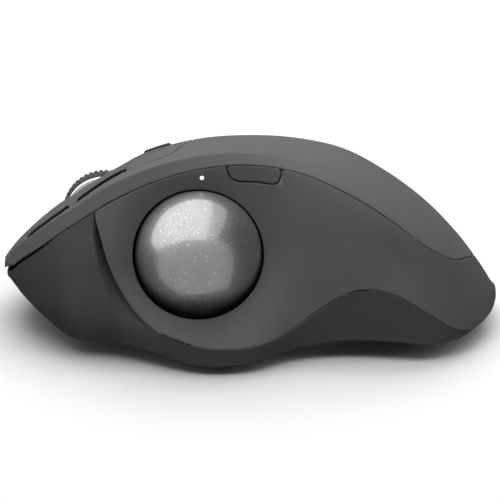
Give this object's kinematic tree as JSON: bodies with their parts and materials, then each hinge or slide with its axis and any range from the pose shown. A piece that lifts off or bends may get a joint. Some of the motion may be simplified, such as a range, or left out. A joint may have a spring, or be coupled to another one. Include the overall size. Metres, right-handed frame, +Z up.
{
  "type": "trackball mouse",
  "caption": "Ergonomic right-hand pointing device: sculpted shell with a thumb-operated ball, two main keys, a scroll wheel and small function keys, on a tilting oval steel base plate.",
  "frame": {"origin": "under the middle of the body's length and width, on the surface that the base plate stands on", "axes": "+Z up, -X towards the nose with the main keys, +X towards the tail, -Y towards the thumb side with the ball, +Y towards the little finger"},
  "size_m": [0.132, 0.0994, 0.0504],
  "materials": {
    "plate_steel": "satin",
    "bright_steel": "bright",
    "screw_steel": "black oxide",
    "magnet_nickel": "satin nickel",
    "sole_rubber": "matt",
    "lower_plastic": "fine matt texture",
    "thumb_plastic": "satin",
    "palm_rubber": "soft-touch matt",
    "key_plastic": "fine matt texture",
    "side_key_plastic": "satin",
    "strip_plastic": "semi-gloss",
    "light_clear": "milky",
    "ball_resin": "polished with fine flakes",
    "inner_plastic": "moulded",
    "bearing_ceramic": "polished ceramic",
    "lens_clear": "clear",
    "chip_black": "moulded",
    "board_green": "solder mask",
    "wheel_rubber": "ribbed",
    "wheel_chrome": "polished",
    "actuator_red": "moulded",
    "battery_foil": "foil",
    "slider_green": "moulded",
    "can_tin": "tinned"
  },
  "bodies": {
    "base": {"base_plate": "plate_steel", "rubber_sole": "sole_rubber", "hinge_pins": "bright_steel"},
    "trackball": {"trackball": "ball_resin"},
    "left_key": {"left_button": "key_plastic"},
    "right_key": {"right_button": "key_plastic"},
    "left_plunger": {"left_actuator": "actuator_red"},
    "right_plunger": {"right_actuator": "actuator_red"},
    "forward_key": {"forward_button": "side_key_plastic"},
    "back_key": {"back_button": "side_key_plastic"},
    "mode_key": {"mode_button": "strip_plastic"},
    "precision_key": {"precision_button": "thumb_plastic"},
    "power_knob": {"power_slider": "slider_green"},
    "wheel_carrier": {"wheel_frame": "inner_plastic"},
    "wheel_rocker": {"wheel_cradle": "inner_plastic", "wheel_encoder": "chip_black"},
    "wheel": {"wheel_tyre": "wheel_rubber", "wheel_hub": "wheel_chrome", "wheel_axle": "bright_steel"},
    "housing": {"hinge_brackets": "plate_steel", "bottom_case": "lower_plastic", "case_screws": "screw_steel", "holding_magnets": "magnet_nickel", "lower_housing": "lower_plastic", "thumb_panel": "thumb_plastic", "finger_panel": "palm_rubber", "palm_cover": "palm_rubber", "centre_strip": "strip_plastic", "status_light_guide": "light_clear", "ball_cup": "inner_plastic", "bearing_balls": "bearing_ceramic", "sensor_lens": "lens_clear", "ball_sensor": "chip_black", "sensor_board": "board_green", "wheel_mount": "inner_plastic", "wheel_switch": "chip_black", "main_board": "board_green", "button_switches": "chip_black", "switch_stand": "inner_plastic", "side_switches": "chip_black", "thumb_board": "board_green", "mode_switch": "chip_black", "battery": "battery_foil", "battery_tray": "inner_plastic", "power_switch": "chip_black", "usb_port": "bright_steel", "antenna_module": "can_tin", "board_screws": "screw_steel"}
  },
  "joints": [
    {"name": "body_tilt", "type": "hinge", "parent": "base", "child": "housing", "pos_m": [0, 0.012, 0.0065], "axis": [-1, 0, 0], "range_deg": [0, 20]},
    {"name": "ball_spin", "type": "hinge", "parent": "housing", "child": "trackball", "pos_m": [-0.0138, -0.0255, 0.025], "axis": [0, 0.3746, 0.9272], "continuous": true},
    {"name": "left_press", "type": "hinge", "parent": "housing", "child": "left_key", "pos_m": [-0.02, -0.009, 0.04], "axis": [0, -1, 0], "range_deg": [0, 0.8], "stiffness_Nm_per_rad": 0.3, "springref_deg": -1.72},
    {"name": "right_press", "type": "hinge", "parent": "housing", "child": "right_key", "pos_m": [-0.02, 0.02, 0.036], "axis": [0, -1, 0], "range_deg": [0, 0.8], "stiffness_Nm_per_rad": 0.3, "springref_deg": -1.72},
    {"name": "left_plunge", "type": "slide", "parent": "housing", "child": "left_plunger", "axis": [0, 0, -1], "range_m": [0, 0.0005]},
    {"name": "right_plunge", "type": "slide", "parent": "housing", "child": "right_plunger", "axis": [0, 0, -1], "range_m": [0, 0.0005]},
    {"name": "forward_press", "type": "slide", "parent": "housing", "child": "forward_key", "axis": [0, 0, -1], "range_m": [0, 0.0004], "stiffness_N_per_m": 300, "springref_m": -0.0008},
    {"name": "back_press", "type": "slide", "parent": "housing", "child": "back_key", "axis": [0, 0, -1], "range_m": [0, 0.0004], "stiffness_N_per_m": 300, "springref_m": -0.0008},
    {"name": "mode_press", "type": "slide", "parent": "housing", "child": "mode_key", "axis": [0, 0, -1], "range_m": [0, 0.0004], "stiffness_N_per_m": 300, "springref_m": -0.0008},
    {"name": "precision_press", "type": "slide", "parent": "housing", "child": "precision_key", "axis": [0, 0.9336, -0.3584], "range_m": [0, 0.00025], "stiffness_N_per_m": 300, "springref_m": -0.0008},
    {"name": "power_slide", "type": "slide", "parent": "housing", "child": "power_knob", "axis": [1, 0, 0], "range_m": [0, 0.003]},
    {"name": "wheel_press", "type": "hinge", "parent": "housing", "child": "wheel_carrier", "pos_m": [-0.026, 0.005, 0.0126], "axis": [0, -1, 0], "range_deg": [0, 1.2], "stiffness_Nm_per_rad": 0.4, "springref_deg": -1.72},
    {"name": "wheel_tilt", "type": "hinge", "parent": "wheel_carrier", "child": "wheel_rocker", "pos_m": [-0.0392, 0.005, 0.0126], "axis": [1, 0, 0], "range_deg": [-3, 3], "stiffness_Nm_per_rad": 0.3},
    {"name": "wheel_spin", "type": "hinge", "parent": "wheel_rocker", "child": "wheel", "pos_m": [-0.0392, 0.005, 0.0265], "axis": [0, 1, 0], "continuous": true}
  ],
  "couplings": [
    {"joint": "left_plunge", "follows": "left_press", "m_per_rad": 0.027},
    {"joint": "right_plunge", "follows": "right_press", "m_per_rad": 0.027}
  ]
}
